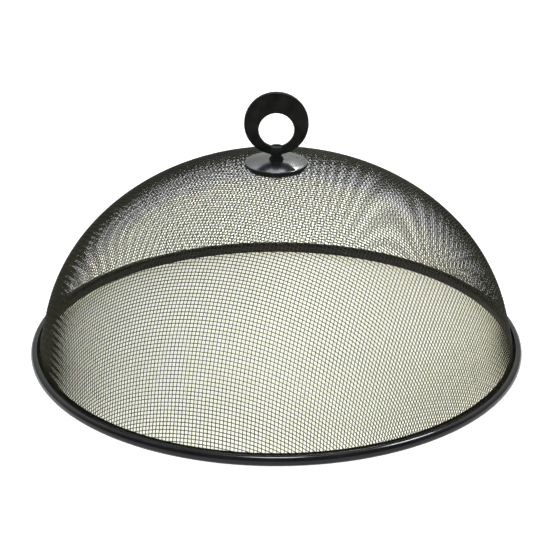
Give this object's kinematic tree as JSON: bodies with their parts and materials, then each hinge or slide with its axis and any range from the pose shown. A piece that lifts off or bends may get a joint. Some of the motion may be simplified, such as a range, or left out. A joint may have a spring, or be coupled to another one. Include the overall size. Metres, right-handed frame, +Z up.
{
  "type": "mesh food cover",
  "caption": "Domed woven-wire food cover on a rolled steel rim, with a flat ring handle that swivels on a clamped disc.",
  "frame": {"origin": "on the table, at the bottom of the rim, under the middle of the dome", "axes": "+Z up through the handle's stud; the ring handle faces -Y at rest"},
  "size_m": [0.35, 0.35, 0.1894],
  "materials": {
    "wire_cloth": "thin dark coating on steel wire",
    "gloss_enamel": "gloss black enamel",
    "polished_disc": "polished black enamel",
    "satin_black": "satin black",
    "ring_plastic": "satin black plastic",
    "steel_wire": "plain drawn steel",
    "zinc_plate": "bright zinc plate"
  },
  "bodies": {
    "cover": {"wire_mesh_dome": "wire_cloth", "rim_hoop": "gloss_enamel", "rim_core_wire": "steel_wire", "top_disc": "polished_disc", "inner_disc": "gloss_enamel"},
    "handle": {"handle_post": "satin_black", "handle_ring": "ring_plastic", "ring_pin": "steel_wire", "lock_washer": "zinc_plate", "fixing_nut": "zinc_plate"}
  },
  "joints": [
    {"name": "handle_swivel", "type": "hinge", "parent": "cover", "child": "handle", "pos_m": [0, 0, 0.141], "axis": [0, 0, 1], "continuous": true}
  ]
}
